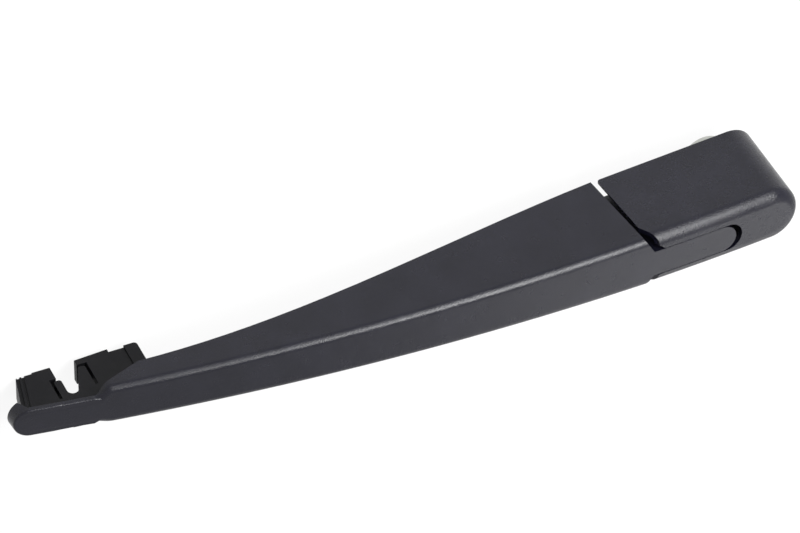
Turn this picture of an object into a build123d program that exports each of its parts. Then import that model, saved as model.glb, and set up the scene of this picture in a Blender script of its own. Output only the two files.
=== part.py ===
from build123d import *
import math
import os

# Rear wiper arm, drawn from the hub's glass-side face up.
# +X runs from the spindle to the blade end, +Z points away from the glass.

# Arm, overall
arm_reach = 319.1
outer_height = 46.0
bow_mid_x = 163.2
bow_mid_z = 35.2
nose_drop_z = 4.5
arm_wall = 2.4
arm_edge_r = 2.8
arm_end_x = 55.9
arm_end_lean = 1.4
arm_end_drop = 4.0
arm_shoulder = 5.5
arm_skin = 1.5
arm_root_width = 24.6
arm_front_width = 19.2
side_offset = 1.3
arm_root_edge_z = 2.9
arm_belly_rise = 6.4
arm_front_edge_z = 5.2

# Nose of the arm, the thin lip that carries the connector
lip_width = 13.6
lip_thickness = 2.2
lip_length = 31.9
lip_blend = 7.7
lip_edge_r = 0.8
lip_sink = 0.04
skin_cut_length = 23.0
nose_wall_depth = 7.0

# Neck and tongue that enter the cap
tongue_width = 12.8
tongue_end_x = 12.4
neck_wall = 2.4
neck_rise = 3.3
neck_run = 8.0
ear_radius = 8.6

# Ribs and spring seat inside the arm
rib_thickness = 1.6
rib_spacing = 17.0
rib_count = 5
rib_depth = 6.0
spring_seat_x = 161.2
spring_seat_r = 2.5

# Cap over the mounting head
cap_width = 25.4
cap_offset = 1.1
cap_wall = 2.2
cap_edge_r = 5.0
cap_centre_x = -5.1
cap_end_lean = 3.2
cap_gap = 2.5
cap_lean = 0.3
cap_bend_drop = 10.0
cap_roof_lean = 5.8
cap_shoulder = 1.9
cap_mouth_r = 1.5
cap_rim_wall = 0.9
cap_rim_depth = 3.0
cap_edge_z = 3.3
cap_corner_r = 1.5
cap_inner_edge_r = 2.6
seam = 0.3
slot_relief = 2.8
boss_radius = 5.0
boss_clearance = 0.5

# Hinge
hinge_x = 26.0
hinge_depth = 7.0
hinge_pin_r = 2.2
hinge_running = 0.05
socket_running = 0.1
socket_floor = 0.4
pin_end_play = 0.3

# Mounting head
hub_radius = 8.5
flange_radius = 10.5
flange_clearance = 0.5
hub_height = 15.0
hub_drop = 1.6
taper_bottom_r = 5.4
taper_top_r = 4.6
taper_height = 11.1
thread_bore_r = 4.1
web_width = 7.4
web_base_z = 2.5
web_top_z = 16.0
riser_half = 6.6
foot_width = 15.0
foot_reach = 16.0
foot_height = 8.0
lug_radius = 4.0

# Spring, its link and its pin
spring_pin_r = 1.5
spring_pin_dx = 2.85
spring_pin_dz = -10.6
link_thickness = 3.0
link_eye_r = 4.6
link_eye_play = 1.1
link_half = 2.6
link_reach = 42.0
link_slot_play = 0.3
spring_wire = 1.6
loop_radius = 3.7
loop_play = 0.1
bend_radius = 1.2
spring_radius = 5.0
spring_turns = 22

# Blade connector
pin_from_nose = 27.7
pin_below_skin = 9.9
seat_radius = 2.4
connector_open_angle = 7.9
connector_width = 10.4
connector_wall = 2.1
connector_depth = 15.0
connector_front = 18.6
connector_nose_lean = 12.4
connector_fit = 0.15
connector_rear = 33.1
mouth_front = 3.9
mouth_rear = 6.4
finger_width = 3.1
finger_height = 6.9
rear_finger_height = 10.9
rear_finger_base = 6.9
slit = 1.3
front_slit_end = 3.4
rear_slit_end = 0.8
groove_count = 2
groove_depth = 0.6
groove_width = 1.1
groove_pitch = 2.0
groove_from_front = 5.0
recess_front = 20.8
recess_rear = 27.6
crest_rise = 0.9
recess_drop = 0.2
rear_rise = 0.4
front_drop = 0.6
finger_round = 1.2
front_round = 0.8
rear_round = 1.5


def circle_through(p, q, r):
    """Centre and radius of the circle through three points."""
    ax, ay = p
    bx, by = q
    cx, cy = r
    d = 2 * (ax * (by - cy) + bx * (cy - ay) + cx * (ay - by))
    pp = ax * ax + ay * ay
    qq = bx * bx + by * by
    rr = cx * cx + cy * cy
    ux = (pp * (by - cy) + qq * (cy - ay) + rr * (ay - by)) / d
    uy = (pp * (cx - bx) + qq * (ax - cx) + rr * (bx - ax)) / d
    return ux, uy, math.hypot(ax - ux, ay - uy)


bow_x, bow_z, bow_radius = circle_through(
    (tongue_end_x, outer_height), (bow_mid_x, bow_mid_z), (arm_reach, nose_drop_z)
)


def outer_z(x, depth=0.0):
    """Height of the bowed outer face, or of a face that lies depth under it."""
    return bow_z + math.sqrt((bow_radius - depth) ** 2 - (x - bow_x) ** 2)


def bow_arc(x0, x1, depth=0.0):
    """Arc that follows the bow from x0 to x1."""
    xm = (x0 + x1) / 2
    ends = [(x, outer_z(x, depth)) for x in (x0, xm, x1)]
    return ThreePointArc(*ends)


def side_face(*edges):
    """Face in the side view, X and Z, from edges that close."""
    return make_face([Plane.XZ * e for e in edges])


def side_slab(face, width):
    """Side-view face given a width across the arm."""
    return extrude(face, amount=width / 2, both=True)


def side_polygon(points, width):
    """Solid of a side-view polygon with the given width."""
    return side_slab(make_face(Plane.XZ * Polyline(*points, close=True)), width)


def cross_cylinder(x, z, radius, y0, y1):
    """Cylinder across the arm at x, z, from y0 to y1."""
    plane = Plane(origin=(x, y1, z), x_dir=(1, 0, 0), z_dir=(0, -1, 0))
    return extrude(plane * Circle(radius), amount=y1 - y0)


# Places that several pieces share
low = -60.0
high = 80.0
overcut = 1.0
hinge_z = outer_height - hinge_depth
lip_x = arm_reach - lip_length
blend_x = lip_x - lip_blend
shoulder_x = arm_end_x - arm_end_lean
shoulder_tip_x = arm_end_x - arm_shoulder
wall_end_x = lip_x - skin_cut_length
neck_inner = tongue_width - 2 * neck_wall
cap_gap_x = arm_end_x - cap_gap
slot_width = tongue_width + 2 * seam
slot_end_x = tongue_end_x - slot_relief
cap_roof = outer_height - cap_wall
spring_pin_x = hinge_x + spring_pin_dx
spring_pin_z = hinge_z + spring_pin_dz
blade_pin_x = arm_reach - pin_from_nose
blade_pin_z = outer_z(blade_pin_x) - pin_below_skin
boss_inner = tongue_width / 2 + boss_clearance


def arm_half(x, side):
    """Width of the arm on one side of its middle plane at x, where its sides run straight."""
    share = (x - arm_end_x) / (blend_x - arm_end_x)
    return (arm_root_width + share * (arm_front_width - arm_root_width)) / 2 - side * side_offset


def cap_half(side):
    """Width of the cap on one side of its middle plane."""
    return cap_width / 2 - side * cap_offset


def socket_end(side):
    """Depth of the hinge socket on one side of the cap."""
    return cap_half(side) - cap_wall + socket_floor


def plan_face(half_points):
    """Plan face between the outlines that half_points gives for the +Y and the -Y side."""
    outline = [(x, y) for x, y in half_points(1)] + [(x, -y) for x, y in reversed(half_points(-1))]
    return make_face(Polyline(*outline, close=True))


def tall(face):
    """Tall block of a plan face."""
    return extrude(Plane.XY.offset(low) * face, amount=high - low)


def outside(x0, x1, depth=0.0):
    """Everything outside a face that lies depth under the bowed outer face."""
    close = Polyline((x1, outer_z(x1, depth)), (x1, high), (x0, high), (x0, outer_z(x0, depth)))
    return side_slab(side_face(bow_arc(x0, x1, depth), close), 2 * cap_width)


def arm_plan():
    """Plan face of the arm: shoulders, tapered sides, a blend to the lip and a round nose."""
    lip = lip_width / 2
    nose = arm_reach - lip
    edges = [
        ThreePointArc((nose, lip), (arm_reach, 0), (nose, -lip)),
        Line((shoulder_tip_x, -tongue_width / 2), (shoulder_tip_x, tongue_width / 2)),
    ]
    for side in (-1, 1):
        root = side * arm_half(shoulder_x, side)
        front = side * arm_half(blend_x, side)
        along = (blend_x - shoulder_x, front - root)
        edges += [
            Line((shoulder_tip_x, side * tongue_width / 2), (shoulder_x, root)),
            Line((shoulder_x, root), (blend_x, front)),
            Spline((blend_x, front), (lip_x, side * lip), tangents=[along, (1, 0)]),
            Line((lip_x, side * lip), (nose, side * lip)),
        ]
    return make_face(edges)


def lip_plate():
    """Crisp edge of the lip: it grows out of the rounded ridge and runs round the nose."""
    lip = lip_width / 2
    nose = arm_reach - lip
    start = (blend_x + lip_x) / 2
    starts = {side: side * ((arm_half(blend_x, side) + lip) / 2 - arm_edge_r) for side in (-1, 1)}
    edges = [
        ThreePointArc((nose, lip), (arm_reach, 0), (nose, -lip)),
        Line((start, starts[-1]), (start, starts[1])),
    ]
    for side in (-1, 1):
        edges += [
            Line((start, starts[side]), (lip_x, side * lip)),
            Line((lip_x, side * lip), (nose, side * lip)),
        ]
    plate = tall(make_face(edges))
    plate = plate & outside(start - overcut, arm_reach + overcut, arm_edge_r + arm_skin)
    plate = plate - outside(start - overcut, arm_reach + overcut, lip_sink)
    roof = max(plate.faces(), key=lambda f: f.normal_at().Z)
    return fillet(roof.edges().filter_by(lambda e: e.center().X > start + overcut), lip_edge_r)


def arm_blank():
    """Outer form of the arm, full down to the glass side."""
    blank = tall(arm_plan()) - outside(shoulder_tip_x - overcut, arm_reach + overcut)
    roof = blank.faces().sort_by(Axis.Z)[-1]
    ridge = roof.edges().filter_by(lambda e: e.center().X > shoulder_x + overcut)
    return fillet(ridge, arm_edge_r) + lip_plate()


def arm_underside():
    """Everything on the glass side of the arm's edge, as one cutting solid."""
    x0 = arm_end_x
    x3 = wall_end_x
    x4 = lip_x - lip_blend / 4
    x5 = arm_reach - 3 * lip_thickness
    x6 = arm_reach + lip_width
    chord = arm_front_edge_z - arm_root_edge_z
    span = x3 - x0
    belly = [
        (x0, arm_root_edge_z),
        (x0 + span / 3, arm_root_edge_z + chord / 3 + arm_belly_rise * 0.43),
        (x0 + span * 2 / 3, arm_root_edge_z + chord * 2 / 3 + arm_belly_rise * 0.82),
        (x3, arm_front_edge_z),
    ]
    lip_edge = [
        Line((x3, arm_front_edge_z), (x4, outer_z(x4, lip_thickness))),
        bow_arc(x4, x5, lip_thickness),
    ]
    nose_z = outer_z(x5, nose_wall_depth)
    close = Polyline(
        (x5, outer_z(x5, lip_thickness)), (x5 + lip_thickness, nose_z), (x6, nose_z), (x6, low),
        (x0 - 1, low), (x0 - 1, arm_root_edge_z), (x0, arm_root_edge_z),
    )
    return side_slab(side_face(Spline(*belly), *lip_edge, close), 2 * arm_root_width)


def arm_cavity():
    """Hollow of the arm's channel, open to the glass side."""
    x0 = arm_end_x + arm_wall
    x1 = lip_x - lip_blend / 4

    def outline(side):
        runs = [(x, arm_half(x, side) - arm_wall) for x in (x0, blend_x)]
        return runs + [(x1, lip_width / 2 - arm_wall)]

    return tall(plan_face(outline)) - outside(arm_end_x, lip_x, arm_wall)


def neck():
    """Channel under the tongue: two walls with the hinge ears, closed by the tongue."""
    x0 = tongue_end_x
    x1 = arm_end_x + arm_wall
    half = tongue_width / 2
    wall_low = arm_root_edge_z + neck_rise
    plate = side_slab(
        side_face(
            bow_arc(x0, x1),
            Line((x1, outer_z(x1)), (x1, outer_z(x1, arm_wall))),
            bow_arc(x1, x0, arm_wall),
            Line((x0, outer_z(x0, arm_wall)), (x0, outer_z(x0))),
        ),
        tongue_width,
    )
    round_end = Location((x0 + half, 0, 0)) * Circle(half)
    straight = Location(((x0 + half + x1) / 2, 0, 0)) * Rectangle(x1 - x0 - half, tongue_width)
    outline = tall(round_end + straight)
    ear_x = hinge_x - ear_radius
    walls = side_slab(
        side_face(
            bow_arc(ear_x, x1, arm_wall / 2),
            Polyline(
                (x1, outer_z(x1, arm_wall / 2)), (x1, wall_low), (arm_end_x - neck_run, wall_low),
                (hinge_x + ear_radius * 0.7, hinge_z - ear_radius * 0.7),
            ),
            ThreePointArc(
                (hinge_x + ear_radius * 0.7, hinge_z - ear_radius * 0.7),
                (hinge_x, hinge_z - ear_radius), (ear_x, hinge_z),
            ),
            Line((ear_x, hinge_z), (ear_x, outer_z(ear_x, arm_wall / 2))),
        ),
        tongue_width,
    )
    hollow = Pos((x0 + x1) / 2, 0, (low + cap_roof) / 2) * Box(
        2 * (x1 - x0), neck_inner, cap_roof - low
    )
    walls = walls - hollow
    pin_hole = cross_cylinder(hinge_x, hinge_z, hinge_pin_r + hinge_running, -half, half)
    return ((plate + walls) & outline) - pin_hole


def arm_ribs():
    """Cross ribs of the channel and the bar that the spring hooks on."""
    span = 2 * arm_root_width
    ribs = []
    for i in range(rib_count):
        x = spring_seat_x + rib_spacing * (i + 0.8)
        top = outer_z(x, arm_wall / 2)
        ribs.append(Pos(x, 0, top - rib_depth / 2) * Box(rib_thickness, span, rib_depth))
    seat_z = spring_line(spring_seat_x)
    bar = cross_cylinder(spring_seat_x, seat_z, spring_seat_r, -span / 2, span / 2)
    limit = tall(
        plan_face(lambda side: [(x, arm_half(x, side) - arm_wall / 2) for x in (arm_end_x, blend_x)])
    )
    return Part() + [(rib & limit) for rib in ribs] + (bar & limit)


def spring_line(x):
    """Height of the straight line from the link's pin to the spring seat."""
    seat_z = (outer_z(spring_seat_x) + arm_front_edge_z) / 2 + spring_radius / 2
    share = (x - spring_pin_x) / (spring_seat_x - spring_pin_x)
    return spring_pin_z + share * (seat_z - spring_pin_z)


def arm_shell():
    shell = arm_blank() - arm_cavity() - arm_underside()
    skin_z = outer_z(shoulder_tip_x, arm_skin)
    end_cut = [
        (shoulder_tip_x - overcut, low), (arm_end_x, low), (arm_end_x, arm_root_edge_z),
        (shoulder_x, outer_height - arm_end_drop), (shoulder_tip_x, skin_z),
        (shoulder_tip_x - overcut, skin_z),
    ]
    shell = shell - side_polygon(end_cut, 2 * arm_root_width)
    x0 = shoulder_tip_x - overcut
    x1 = arm_end_x + 2 * arm_wall
    top = outer_z(x1, arm_wall)
    passage = Pos((x0 + x1) / 2, 0, (low + top) / 2) * Box(x1 - x0, neck_inner, top - low)
    return (shell - passage) + neck() + arm_ribs() - connector_space()


def cap_form(inset=0.0):
    """Outer form of the cap, or of its hollow: a leaning half-round end and a bowed roof."""
    half = cap_width / 2 - inset
    far = arm_end_x + cap_width
    centre = cap_centre_x - cap_end_lean
    round_end = Location((centre, -cap_offset, 0)) * Circle(half)
    sides = Location(((centre + far) / 2, -cap_offset, 0)) * Rectangle(far - centre, 2 * half)
    rise = Vector(cap_end_lean, 0, outer_height - cap_edge_z)
    foot = Plane.XY.offset(cap_edge_z) * (round_end + sides)
    form = extrude(foot, amount=rise.length + cap_wall, dir=rise.normalized())
    form = form - outside(cap_centre_x - 2 * cap_width, far + 2 * cap_width, inset)
    roof = form.faces().sort_by(Axis.Z)[-1]
    rim = roof.edges().filter_by(lambda e: e.center().X < far - overcut)
    return fillet(rim, cap_inner_edge_r if inset else cap_edge_r)


def cap_mouth(front_x):
    """Opening in the cap's roof: the slot round the tongue, with flared round corners at its mouth."""
    half = slot_width / 2
    far = arm_end_x + 2 * cap_width
    slot_round = Location((slot_end_x + half, 0, 0)) * Circle(half)
    slot_run = Location((slot_end_x + half + arm_end_x, 0, 0)) * Rectangle(2 * arm_end_x, slot_width)

    def flare(side):
        reach = max(cap_half(side) - cap_edge_r, half + seam)
        return [(front_x - cap_shoulder, half), (front_x, reach), (far, reach)]

    mouth = slot_round + slot_run + plan_face(flare)
    corner = Vector(front_x - cap_shoulder, half)
    corners = mouth.vertices().filter_by(
        lambda v: math.hypot(v.X - corner.X, abs(v.Y) - corner.Y) < seam / 2
    )
    return extrude(Plane.XY.offset(cap_roof - cap_wall) * fillet(corners, cap_mouth_r), amount=high)


def head_cap():
    shell = cap_form() - cap_form(cap_wall)
    for side in (-1, 1):
        ends = sorted((side * boss_inner, side * (cap_half(side) - cap_wall / 2)))
        shell = shell + cross_cylinder(hinge_x, hinge_z, boss_radius, *ends)
    shell = shell - cross_cylinder(
        hinge_x, hinge_z, hinge_pin_r + socket_running, -socket_end(-1), socket_end(1)
    )
    far = arm_end_x + 2 * cap_width
    roof_x = cap_gap_x - cap_roof_lean
    bend_z = outer_height - cap_bend_drop
    gap_cut = [
        (cap_gap_x, low), (cap_gap_x, cap_edge_z), (cap_gap_x - cap_lean, bend_z),
        (roof_x, outer_height), (roof_x, high), (far, high), (far, low),
    ]
    shell = shell - side_polygon(gap_cut, 2 * cap_width) - cap_mouth(roof_x)
    rim_x = cap_gap_x - cap_lean - cap_rim_depth
    rim = Pos((rim_x + far) / 2, -cap_offset, (low + bend_z) / 2) * Box(
        far - rim_x, cap_width - 2 * cap_rim_wall, bend_z - low
    )
    shell = shell - rim
    corner = Vector(cap_gap_x, 0, cap_edge_z)
    corners = shell.edges().filter_by(Axis.Y).filter_by(
        lambda e: math.hypot(e.center().X - corner.X, e.center().Z - corner.Z) < seam
    )
    return fillet(corners, cap_corner_r)


def mounting_head():
    hub = extrude(Plane.XY.offset(-hub_drop) * Circle(hub_radius), amount=hub_height + hub_drop)
    flange_height = cap_edge_z - flange_clearance + hub_drop
    hub = hub + extrude(Plane.XY.offset(-hub_drop) * Circle(flange_radius), amount=flange_height)
    riser_x0 = hinge_x - riser_half
    riser_x1 = hinge_x + riser_half
    web = side_polygon(
        [(0, web_base_z), (riser_x0, web_base_z), (riser_x1, web_base_z + riser_half),
         (riser_x1, spring_pin_z), (hinge_x + lug_radius, hinge_z), (hinge_x - lug_radius, hinge_z),
         (riser_x0, web_top_z), (0, hub_height)],
        web_width,
    )
    foot_plan = plan_face(lambda side: [(0, foot_width / 2), (foot_reach, web_width / 2)])
    foot = tall(foot_plan) & Pos(0, 0, web_base_z + foot_height / 2) * Box(
        4 * foot_reach, 2 * foot_width, foot_height
    )
    lug = cross_cylinder(hinge_x, hinge_z, lug_radius, -web_width / 2, web_width / 2)
    head = hub + web + foot + lug
    taper = Pos(0, 0, -hub_drop) * Cone(
        taper_bottom_r, taper_top_r, taper_height, align=(Align.CENTER, Align.CENTER, Align.MIN)
    )
    head = head - taper - extrude(Circle(thread_bore_r), amount=hub_height)
    slot_w = link_thickness + 2 * link_slot_play
    play = link_eye_r + link_eye_play + link_slot_play
    slot_x0 = spring_pin_x - play
    slot_z0 = spring_pin_z - play
    slot_z1 = spring_pin_z + play
    slot = side_polygon(
        [(slot_x0, slot_z0), (hinge_x + 3 * riser_half, slot_z0),
         (hinge_x + 3 * riser_half, slot_z1 + riser_half), (spring_pin_x, slot_z1), (slot_x0, slot_z1)],
        slot_w,
    )
    head = head - slot
    half = web_width / 2
    head = head - cross_cylinder(hinge_x, hinge_z, hinge_pin_r, -half, half)
    return head - cross_cylinder(spring_pin_x, spring_pin_z, spring_pin_r, -half, half)


def hinge_pin():
    ends = [side * (socket_end(side) - pin_end_play) for side in (-1, 1)]
    return cross_cylinder(hinge_x, hinge_z, hinge_pin_r, *ends)


def spring_pin():
    return cross_cylinder(spring_pin_x, spring_pin_z, spring_pin_r, -web_width / 2, web_width / 2)


def spring_link():
    half = link_thickness / 2
    x1 = spring_pin_x + link_reach
    z1 = spring_line(x1)
    eye = cross_cylinder(spring_pin_x, spring_pin_z, link_eye_r, -half, half)
    far_eye = cross_cylinder(x1, z1, link_half + spring_wire / 2, -half, half)
    strap = side_polygon(
        [(spring_pin_x, spring_pin_z - link_half), (x1, z1 - link_half),
         (x1, z1 + link_half), (spring_pin_x, spring_pin_z + link_half)],
        link_thickness,
    )
    link = eye + far_eye + strap
    link = link - cross_cylinder(
        spring_pin_x, spring_pin_z, spring_pin_r + link_eye_play, -half, half
    )
    return link - cross_cylinder(x1, z1, spring_wire / 2 + 2 * link_slot_play, -half, half)


def tension_spring():
    """Coil along the spring line with a loop at each end."""
    x0 = spring_pin_x + link_reach
    hook = Vector(x0, 0, spring_line(x0))
    seat = Vector(spring_seat_x, 0, spring_line(spring_seat_x))
    unit = (seat - hook).normalized()
    seat_centre = seat - unit * (loop_radius - spring_wire / 2 - spring_seat_r - loop_play)
    hook_centre = hook + unit * loop_radius
    start = hook_centre + unit * loop_radius
    height = (seat_centre - start).length - loop_radius
    helix = Helix(height / spring_turns, height, spring_radius, center=start, direction=unit)
    section = Plane(origin=helix @ 0, z_dir=helix % 0) * Circle(spring_wire / 2)
    spring = sweep(section, path=helix)
    wire = spring_wire / 2
    across = Vector(0, 1, 0)
    for centre, end, axis in ((hook_centre, 0, unit.cross(across)), (seat_centre, 1, across)):
        tip = helix @ end
        root = start + unit * height * end
        leg = Plane(origin=root, z_dir=tip - root) * Circle(wire)
        spring = spring + extrude(leg, amount=spring_radius) + Pos(*tip) * Sphere(bend_radius)
        loop = Plane(origin=centre, z_dir=axis) * Torus(loop_radius, wire)
        spring = spring + (loop + Pos(*root) * Sphere(bend_radius))
    return spring


def connector_plane():
    """Side-view plane at the blade pin, along the connector's glass-side edge."""
    slope = math.asin((blade_pin_x - bow_x) / bow_radius)
    tilt = slope - math.radians(connector_open_angle)
    return Plane(
        origin=(blade_pin_x, 0, blade_pin_z),
        x_dir=(math.cos(tilt), 0, -math.sin(tilt)),
        z_dir=(0, -1, 0),
    )


def connector_slab(points, width, offset=0.0):
    """Polygon in the connector's own side view, given a width about y = offset."""
    plane = connector_plane()
    face = make_face(plane * Polyline(*points, close=True))
    return Pos(0, offset, 0) * extrude(face, amount=width / 2, both=True)


def connector_outline(grow=0.0):
    """Side outline of the connector, from the head side round to the tip."""
    rear = -connector_rear - grow
    low_v = -connector_depth - grow
    front = connector_front + grow
    lean = connector_depth * math.tan(math.radians(connector_nose_lean))
    high_v = 2 * pin_below_skin
    return [
        (rear, low_v), (front, low_v), (front + lean, 0), (front + lean, high_v), (rear, high_v),
    ]


def connector_crest():
    """Side outline of the connector with its stepped glass-side edge."""
    rear, front_low, front_high, front_top, rear_top = connector_outline()
    low_v = -connector_depth
    step_u = connector_front - groove_from_front - (groove_count - 1) * groove_pitch
    return [
        (rear[0], low_v - rear_rise), (-recess_rear, low_v - rear_rise),
        (-recess_rear, low_v + recess_drop), (-recess_front, low_v + recess_drop),
        (-recess_front, low_v - crest_rise), (-mouth_rear, low_v), (step_u, low_v),
        (step_u, low_v + front_drop), (front_low[0], low_v + front_drop), front_high, front_top, rear_top,
    ]


def rounded(solid, radius, *corners):
    """Rounds the connector's edges that cross it at the given corners of its side view."""
    spots = [connector_plane().from_local_coords(Vector(u, v, 0)) for u, v in corners]
    edges = solid.edges().filter_by(Axis.Y).filter_by(
        lambda e: any((e.center() - spot).length < seam for spot in spots)
    )
    return fillet(edges, radius)


def connector_space():
    """Room that the connector needs inside the arm's tip."""
    slab = connector_slab(connector_outline(connector_fit), connector_width + 2 * connector_fit)
    return slab - outside(blade_pin_x - 2 * connector_rear, arm_reach + overcut, lip_thickness)


def blade_connector():
    skin = outside(blade_pin_x - 2 * connector_rear, arm_reach + overcut, lip_thickness + connector_fit)
    body = connector_slab(connector_crest(), connector_width) - skin
    rear_inner = -connector_rear + connector_wall
    front_inner = connector_front - connector_wall
    below = -2 * connector_depth
    inner_width = connector_width - 2 * connector_wall
    front_x = seat_radius + finger_width
    rear_x = -seat_radius - rear_finger_base
    pocket_front = rear_x - slit - connector_wall
    pocket_rear = front_x + slit + connector_wall
    rear_roof = pin_below_skin / 2
    rear_pocket = [
        (rear_inner, below), (pocket_front, below), (pocket_front, rear_roof), (rear_inner, rear_roof),
    ]
    front_pocket = [(pocket_rear, below), (front_inner, below), (front_inner, 0), (pocket_rear, 0)]
    body = body - connector_slab(rear_pocket, inner_width) - connector_slab(front_pocket, inner_width)
    through = 2 * connector_width
    seat = extrude(connector_plane() * Circle(seat_radius), amount=connector_width, both=True)
    notch = [
        (seat_radius, 0), (seat_radius, -finger_height), (mouth_front, -finger_height - slit),
        (mouth_front, below), (-mouth_rear, below), (-mouth_rear, -rear_finger_height), (-seat_radius, 0),
    ]
    body = body - seat - connector_slab(notch, through)
    front_slit = [
        (seat_radius - slit, -finger_height - slit), (front_x + slit, -finger_height - slit),
        (front_x + slit, front_slit_end), (front_x, front_slit_end), (front_x, -finger_height),
        (seat_radius - slit, -finger_height),
    ]
    rear_slit = [
        (-mouth_rear + slit, -rear_finger_height - slit), (rear_x - slit, -rear_finger_height - slit),
        (rear_x - slit, rear_slit_end), (rear_x, rear_slit_end), (rear_x, -rear_finger_height),
        (-mouth_rear + slit, -rear_finger_height),
    ]
    body = body - connector_slab(front_slit, through) - connector_slab(rear_slit, through)
    body = rounded(body, rear_round, (-connector_rear, -connector_depth - rear_rise))
    body = rounded(body, front_round, (connector_front, -connector_depth + front_drop))
    body = rounded(body, finger_round, (seat_radius, -finger_height), (front_x, -finger_height))
    body = rounded(body, finger_round, (-mouth_rear, -rear_finger_height), (rear_x, -rear_finger_height))
    lean = math.tan(math.radians(connector_nose_lean))
    for side in (-1, 1):
        face_y = side * connector_width / 2
        for i in range(groove_count):
            u = connector_front - groove_from_front - i * groove_pitch
            top_u = u + lean * (pin_below_skin - below)
            groove = [
                (u, below), (u + groove_width, below), (top_u + groove_width, pin_below_skin),
                (top_u, pin_below_skin),
            ]
            body = body - connector_slab(groove, 2 * groove_depth, face_y)
        recess = [
            (-recess_rear, below), (-recess_front, below), (-recess_front, pin_below_skin),
            (-recess_rear, pin_below_skin),
        ]
        body = body - connector_slab(recess, 2 * groove_depth, face_y)
    return body


os.makedirs("parts", exist_ok=True)
pieces = {
    "mounting_head": mounting_head(),
    "hinge_pin": hinge_pin(),
    "spring_pin": spring_pin(),
    "arm_shell": arm_shell(),
    "blade_connector": blade_connector(),
    "spring_link": spring_link(),
    "tension_spring": tension_spring(),
    "head_cap": head_cap(),
}
# Each piece is moved so that the origin is the centre of the hub's outer face, where the nut sits
for name, solid in pieces.items():
    export_step(Pos(0, 0, -hub_height) * solid, f"parts/{name}.step")
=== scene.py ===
import math
import bmesh
import bpy
from mathutils import Matrix, Vector


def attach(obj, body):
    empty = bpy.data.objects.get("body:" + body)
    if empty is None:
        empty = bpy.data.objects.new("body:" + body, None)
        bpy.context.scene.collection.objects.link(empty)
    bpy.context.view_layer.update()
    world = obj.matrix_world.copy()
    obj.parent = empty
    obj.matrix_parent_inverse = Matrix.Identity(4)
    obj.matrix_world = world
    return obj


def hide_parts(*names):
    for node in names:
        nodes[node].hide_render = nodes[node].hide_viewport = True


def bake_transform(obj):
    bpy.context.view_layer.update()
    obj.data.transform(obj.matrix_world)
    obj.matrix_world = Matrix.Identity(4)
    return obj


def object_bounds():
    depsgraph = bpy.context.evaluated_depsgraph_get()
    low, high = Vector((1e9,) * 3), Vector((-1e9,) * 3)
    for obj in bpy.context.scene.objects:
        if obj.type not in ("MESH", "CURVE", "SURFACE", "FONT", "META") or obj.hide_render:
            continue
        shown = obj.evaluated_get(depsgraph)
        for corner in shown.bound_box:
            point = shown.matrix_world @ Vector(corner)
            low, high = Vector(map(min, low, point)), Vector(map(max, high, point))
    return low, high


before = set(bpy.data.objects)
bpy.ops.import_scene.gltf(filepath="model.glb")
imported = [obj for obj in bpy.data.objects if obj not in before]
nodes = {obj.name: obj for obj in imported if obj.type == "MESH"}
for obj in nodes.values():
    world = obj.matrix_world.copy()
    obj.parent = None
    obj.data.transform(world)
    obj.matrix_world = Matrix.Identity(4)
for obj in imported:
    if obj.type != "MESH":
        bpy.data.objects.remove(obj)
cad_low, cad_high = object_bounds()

scene = bpy.context.scene
millimetre = 0.001
full_turn = 2 * math.pi
white = (1.0, 1.0, 1.0, 1.0)


# Finishes: pattern scales are in features to the metre

grain_height = 0.2 * millimetre
plastic_clouds = 60.0
plastic_patches = 220.0
plastic_ior = 1.5
metal_clouds = 150.0


def new_finish(name):
    """Empty material with a shader, an output and the object's own coordinates."""
    finish = bpy.data.materials.new(name)
    finish.use_nodes = True
    tree = finish.node_tree
    tree.nodes.clear()
    out = tree.nodes.new("ShaderNodeOutputMaterial")
    shader = tree.nodes.new("ShaderNodeBsdfPrincipled")
    tree.links.new(shader.outputs["BSDF"], out.inputs["Surface"])
    place = tree.nodes.new("ShaderNodeTexCoord").outputs["Object"]
    return finish, tree, shader, place


def noise(tree, place, scale, detail=3.0, rough=0.55):
    """Cloudy pattern laid on a vector."""
    cloud = tree.nodes.new("ShaderNodeTexNoise")
    cloud.inputs["Scale"].default_value = scale
    cloud.inputs["Detail"].default_value = detail
    cloud.inputs["Roughness"].default_value = rough
    tree.links.new(place, cloud.inputs["Vector"])
    return cloud.outputs["Fac"]


def spread(tree, pattern, low, high, start=0.3, end=0.7):
    """Maps a pattern from start..end to low..high."""
    ranged = tree.nodes.new("ShaderNodeMapRange")
    ranged.inputs["From Min"].default_value = start
    ranged.inputs["From Max"].default_value = end
    ranged.inputs["To Min"].default_value = low
    ranged.inputs["To Max"].default_value = high
    tree.links.new(pattern, ranged.inputs["Value"])
    return ranged.outputs["Result"]


def two_tones(tree, pattern, dark, light, start=0.35, end=0.65):
    """Colour ramp between two tones, driven by a pattern."""
    ramp = tree.nodes.new("ShaderNodeValToRGB")
    ramp.color_ramp.elements[0].position = start
    ramp.color_ramp.elements[0].color = (*dark, 1.0)
    ramp.color_ramp.elements[1].position = end
    ramp.color_ramp.elements[1].color = (*light, 1.0)
    tree.links.new(pattern, ramp.inputs["Fac"])
    return ramp.outputs["Color"]


def add_grain(tree, shader, pattern, depth):
    """Fine grain on the surface, from a pattern."""
    bump = tree.nodes.new("ShaderNodeBump")
    bump.inputs["Strength"].default_value = depth
    bump.inputs["Distance"].default_value = grain_height
    tree.links.new(pattern, bump.inputs["Height"])
    tree.links.new(bump.outputs["Normal"], shader.inputs["Normal"])


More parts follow.
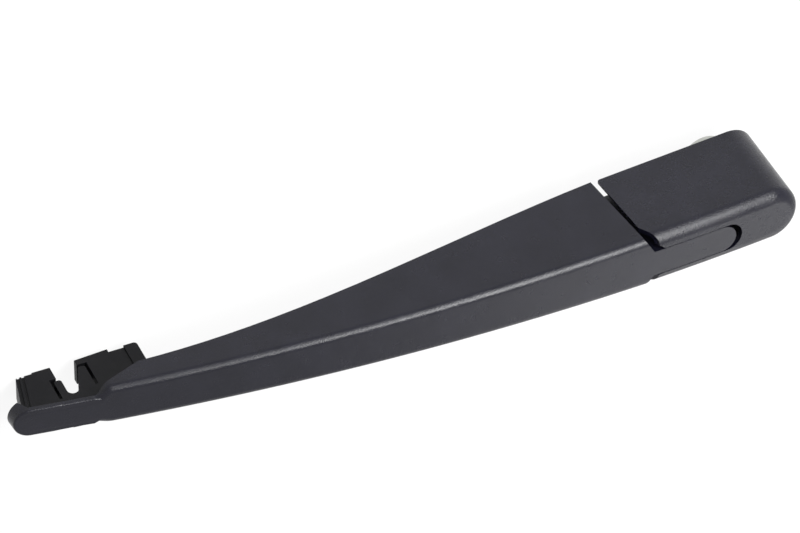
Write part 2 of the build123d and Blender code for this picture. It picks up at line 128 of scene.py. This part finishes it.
def grained_plastic(name, dark, light, grain, depth, rough, shine):
    """Moulded black plastic with a fine spark-eroded grain."""
    finish, tree, shader, place = new_finish(name)
    clouds = noise(tree, place, plastic_clouds)
    tree.links.new(two_tones(tree, clouds, dark, light), shader.inputs["Base Color"])
    patches = noise(tree, place, plastic_patches, detail=2.0)
    tree.links.new(spread(tree, patches, *rough), shader.inputs["Roughness"])
    add_grain(tree, shader, noise(tree, place, grain, detail=2.0, rough=0.5), depth)
    shader.inputs["IOR"].default_value = plastic_ior
    shader.inputs["Specular IOR Level"].default_value = shine
    return finish


def worked_metal(name, dark, light, grain, depth, rough, stretch=(1.0, 1.0, 1.0)):
    """Bare metal with a cast skin, or with streaks where the pattern is stretched."""
    finish, tree, shader, place = new_finish(name)
    clouds = noise(tree, place, metal_clouds)
    tree.links.new(two_tones(tree, clouds, dark, light), shader.inputs["Base Color"])
    streaks = tree.nodes.new("ShaderNodeMapping")
    streaks.inputs["Scale"].default_value = stretch
    tree.links.new(place, streaks.inputs["Vector"])
    skin = noise(tree, streaks.outputs["Vector"], grain, detail=4.0, rough=0.5)
    tree.links.new(spread(tree, skin, *rough), shader.inputs["Roughness"])
    add_grain(tree, shader, skin, depth)
    shader.inputs["Metallic"].default_value = 1.0
    return finish


satin_dark = (0.003, 0.003, 0.007)
satin_light = (0.005, 0.005, 0.010)
finishes = {
    "arm_shell": grained_plastic(
        "satin_black_arm", satin_dark, satin_light,
        grain=1900.0, depth=0.60, rough=(0.20, 0.28), shine=0.31,
    ),
    "head_cap": grained_plastic(
        "satin_black_cap", satin_dark, satin_light,
        grain=1800.0, depth=0.70, rough=(0.22, 0.30), shine=0.31,
    ),
    "blade_connector": grained_plastic(
        "smooth_black_connector", (0.002, 0.002, 0.003), (0.004, 0.004, 0.005),
        grain=900.0, depth=0.08, rough=(0.40, 0.52), shine=0.15,
    ),
    "mounting_head": worked_metal(
        "cast_zinc_alloy", (0.46, 0.47, 0.44), (0.60, 0.61, 0.58),
        grain=700.0, depth=0.25, rough=(0.34, 0.52),
    ),
    "hinge_pin": worked_metal(
        "ground_pin_steel", (0.50, 0.50, 0.50), (0.62, 0.62, 0.62),
        grain=500.0, depth=0.10, rough=(0.18, 0.32), stretch=(1.0, 0.1, 1.0),
    ),
    "spring_link": worked_metal(
        "zinc_plated_strap", (0.48, 0.49, 0.47), (0.63, 0.63, 0.58),
        grain=600.0, depth=0.12, rough=(0.24, 0.42), stretch=(0.15, 1.0, 1.0),
    ),
    "tension_spring": worked_metal(
        "drawn_spring_wire", (0.20, 0.20, 0.21), (0.32, 0.32, 0.33),
        grain=900.0, depth=0.12, rough=(0.26, 0.40),
    ),
}
finishes["spring_pin"] = finishes["hinge_pin"]
for node, finish in finishes.items():
    nodes[node].data.materials.clear()
    nodes[node].data.materials.append(finish)


def add_piece(name, mesh, finish):
    """Object made from a finished bmesh, in one finish."""
    data = bpy.data.meshes.new(name)
    mesh.to_mesh(data)
    mesh.free()
    data.materials.append(finish)
    piece = bpy.data.objects.new(name, data)
    scene.collection.objects.link(piece)
    return piece


# Spring, stretched between its link and its seat

hook = Vector((70.85, 0.0, 11.63)) * millimetre
seat = Vector((161.2, 0.0, 7.83)) * millimetre
wire = 0.8 * millimetre
wire_sides = 12
ball_rings = 8
coil_radius = 5.0 * millimetre
coil_turns = 22
coil_steps = 24 * coil_turns
loop_radius = 3.7 * millimetre
loop_steps = 40
seat_post_radius = 2.5 * millimetre
seat_play = 0.1 * millimetre
weld_distance = 0.01 * millimetre
along = (seat - hook).normalized()
across = Vector((0.0, 1.0, 0.0))
aside = across.cross(along)


def wire_ring(mesh, centre, outward, travel):
    """Cross section of the wire: a ring of points at centre, square to travel."""
    side = outward.cross(travel).normalized()
    turn = Matrix((outward, side, travel)).transposed().to_4x4()
    return bmesh.ops.create_circle(
        mesh, cap_ends=False, segments=wire_sides, radius=wire,
        matrix=Matrix.Translation(centre) @ turn,
    )["verts"]


def sweep(mesh, verts, centre, axis, turns, steps, rise=Vector(), closed=False):
    """Sweeps a ring of points about an axis, with an even rise along it."""
    edges = list({edge for vert in verts for edge in vert.link_edges})
    bmesh.ops.spin(
        mesh, geom=verts + edges, cent=centre, axis=axis, dvec=rise / steps,
        angle=full_turn * turns, steps=steps, use_merge=closed,
    )


def make_spring():
    """Coil with a leg and a loop at each end."""
    mesh = bmesh.new()
    hook_loop = hook + along * loop_radius
    seat_loop = seat - along * (loop_radius - wire - seat_post_radius - seat_play)
    start = hook_loop + along * loop_radius
    end = seat_loop - along * loop_radius
    first = wire_ring(mesh, start + across * coil_radius, across, aside)
    sweep(mesh, first, start, along, coil_turns, coil_steps, rise=end - start)
    upright = across.to_track_quat("Z", "Y").to_matrix().to_4x4()
    for place, loop, axis in ((start, hook_loop, aside), (end, seat_loop, across)):
        facing = (place - loop).normalized()
        ring = wire_ring(mesh, place, facing, axis.cross(facing))
        sweep(mesh, ring, loop, axis, 1, loop_steps, closed=True)
        bmesh.ops.create_cone(
            mesh, cap_ends=True, segments=wire_sides, radius1=wire, radius2=wire,
            depth=coil_radius,
            matrix=Matrix.Translation(place + across * coil_radius / 2) @ upright,
        )
        bmesh.ops.create_uvsphere(
            mesh, u_segments=wire_sides, v_segments=ball_rings, radius=wire,
            matrix=Matrix.Translation(place + across * coil_radius),
        )
    bmesh.ops.remove_doubles(mesh, verts=mesh.verts, dist=weld_distance)
    open_edges = [edge for edge in mesh.edges if edge.is_boundary]
    bmesh.ops.holes_fill(mesh, edges=open_edges, sides=0)
    bmesh.ops.recalc_face_normals(mesh, faces=mesh.faces)
    piece = add_piece("stretched_spring", mesh, finishes["tension_spring"])
    piece.data.shade_smooth()
    return piece


spring = make_spring()
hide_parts("tension_spring")
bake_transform(spring)


# Teeth in the hub's taper, which bite on the spindle

tooth_count = 36
tooth_radius = 0.42 * millimetre
tooth_length = 10.2 * millimetre
tooth_centre = Vector((-5.06, 0.0, -11.05)) * millimetre
taper_lean = math.atan2(0.8, 11.1)


def make_teeth():
    """Ring of fine ridges lying on the wall of the taper."""
    mesh = bmesh.new()
    tooth = bmesh.ops.create_cone(
        mesh, cap_ends=True, segments=3, radius1=tooth_radius, radius2=tooth_radius,
        depth=tooth_length,
    )["verts"]
    bmesh.ops.transform(mesh, matrix=Matrix.Rotation(taper_lean, 4, "Y"), verts=tooth)
    bmesh.ops.translate(mesh, verts=tooth, vec=tooth_centre)
    copies = tooth_count - 1
    bmesh.ops.spin(
        mesh, geom=mesh.verts[:] + mesh.edges[:] + mesh.faces[:], cent=(0.0, 0.0, 0.0),
        axis=(0.0, 0.0, 1.0), dvec=(0.0, 0.0, 0.0), angle=full_turn * copies / tooth_count,
        steps=copies, use_duplicate=True,
    )
    return add_piece("taper_teeth", mesh, finishes["mounting_head"])


teeth = make_teeth()
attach(teeth, "mount")


# Camera at the photograph's angle, far off with a long lens

right = Vector((-0.87228, -0.00601, 0.48897))
down = Vector((0.32705, 0.73622, 0.59247))
ahead = right.cross(down)
look_at = Vector((0.14801, -0.01315, -0.00582))
frame_width = 0.320
camera_data = bpy.data.cameras.new("camera")
camera_data.sensor_width = 36.0
camera_data.lens = 300.0
camera_data.clip_start = 0.05
camera_data.clip_end = 50.0
camera = bpy.data.objects.new("camera", camera_data)
scene.collection.objects.link(camera)
eye = look_at - ahead * frame_width * camera_data.lens / camera_data.sensor_width
camera.matrix_world = Matrix((
    (right.x, -down.x, -ahead.x, eye.x),
    (right.y, -down.y, -ahead.y, eye.y),
    (right.z, -down.z, -ahead.z, eye.z),
    (0.0, 0.0, 0.0, 1.0),
))
scene.camera = camera


# Pale floor and backdrop that read white but keep the part's shadow

floor_reach = 6.0
floor_gap = 0.5 * millimetre
paper_tone = (0.9, 0.9, 0.9, 1.0)
paper_glow = 0.9
horizon_light = 1.0
horizon_height = 0.05
zenith_light = 0.3
zenith_height = 0.35


def white_when_seen(tree):
    """Factor that is 1 for rays from the camera, from gloss and through glass."""
    path = tree.nodes.new("ShaderNodeLightPath")
    seen = path.outputs["Is Camera Ray"]
    for ray in ("Is Glossy Ray", "Is Transmission Ray"):
        either = tree.nodes.new("ShaderNodeMath")
        either.operation = "MAXIMUM"
        tree.links.new(seen, either.inputs[0])
        tree.links.new(path.outputs[ray], either.inputs[1])
        seen = either.outputs["Value"]
    return seen


def mix_shaders(tree, out, factor, first, second):
    """Sends a mix of two shaders to the output's surface."""
    mix = tree.nodes.new("ShaderNodeMixShader")
    tree.links.new(factor, mix.inputs["Fac"])
    tree.links.new(first, mix.inputs[1])
    tree.links.new(second, mix.inputs[2])
    tree.links.new(mix.outputs["Shader"], out.inputs["Surface"])


def white_paper():
    """Matte paper that mostly glows white where it is seen, and still takes shadow."""
    paper = bpy.data.materials.new("white_paper")
    paper.use_nodes = True
    tree = paper.node_tree
    tree.nodes.clear()
    out = tree.nodes.new("ShaderNodeOutputMaterial")
    matte = tree.nodes.new("ShaderNodeBsdfDiffuse")
    matte.inputs["Color"].default_value = paper_tone
    glow = tree.nodes.new("ShaderNodeEmission")
    glow.inputs["Color"].default_value = white
    glow.inputs["Strength"].default_value = 1.0
    share = tree.nodes.new("ShaderNodeMath")
    share.operation = "MULTIPLY"
    share.inputs[1].default_value = paper_glow
    tree.links.new(white_when_seen(tree), share.inputs[0])
    mix_shaders(
        tree, out, share.outputs["Value"], matte.outputs["BSDF"], glow.outputs["Emission"]
    )
    return paper


def studio_room():
    """World with light from the horizon and a white backdrop where it is seen."""
    world = bpy.data.worlds.new("studio")
    world.use_nodes = True
    tree = world.node_tree
    tree.nodes.clear()
    out = tree.nodes.new("ShaderNodeOutputWorld")
    sky = tree.nodes.new("ShaderNodeTexCoord")
    height = tree.nodes.new("ShaderNodeSeparateXYZ")
    tree.links.new(sky.outputs["Generated"], height.inputs["Vector"])
    light = spread(
        tree, height.outputs["Z"], horizon_light, zenith_light,
        start=horizon_height, end=zenith_height,
    )
    room = tree.nodes.new("ShaderNodeBackground")
    room.inputs["Color"].default_value = white
    tree.links.new(light, room.inputs["Strength"])
    backdrop = tree.nodes.new("ShaderNodeBackground")
    backdrop.inputs["Color"].default_value = white
    backdrop.inputs["Strength"].default_value = 1.0
    mix_shaders(
        tree, out, white_when_seen(tree),
        room.outputs["Background"], backdrop.outputs["Background"],
    )
    return world


sheet = bmesh.new()
bmesh.ops.create_grid(sheet, x_segments=1, y_segments=1, size=floor_reach)
bmesh.ops.translate(sheet, verts=sheet.verts, vec=(0.0, 0.0, cad_low.z - floor_gap))
floor = add_piece("floor", sheet, white_paper())
scene.world = studio_room()


# Lamps: a ridge highlight along the near shoulder, and soft light on the outer face

def softbox(name, place, aim, width, height, power):
    """Flat studio lamp at place, turned to aim."""
    lamp = bpy.data.lights.new(name, "AREA")
    lamp.shape = "RECTANGLE"
    lamp.size = width
    lamp.size_y = height
    lamp.energy = power
    box = bpy.data.objects.new(name, lamp)
    scene.collection.objects.link(box)
    box.location = place
    box.rotation_mode = "QUATERNION"
    box.rotation_quaternion = (Vector(aim) - Vector(place)).to_track_quat("-Z", "Y")


softbox(
    "ridge_lamp", place=(-0.078, -0.346, 0.674), aim=(0.142, 0.121, 0.182),
    width=0.26, height=0.68, power=10.0,
)
softbox(
    "edge_lamp", place=(-0.232, -0.673, 0.294), aim=(-0.012, -0.206, -0.198),
    width=0.26, height=0.37, power=1.8,
)
softbox(
    "rear_lamp", place=(-0.32, 0.64, 0.42), aim=(0.0, 0.0, 0.02),
    width=0.45, height=0.40, power=1.2,
)
softbox(
    "tip_lamp", place=(0.20, -0.50, 0.53), aim=(0.24, -0.01, 0.0),
    width=0.30, height=0.85, power=2.0,
)
softbox(
    "top_lamp", place=(-0.06, -0.12, 0.62), aim=(0.10, -0.01, 0.02),
    width=0.70, height=0.34, power=1.3,
)

scene.view_settings.view_transform = "Standard"
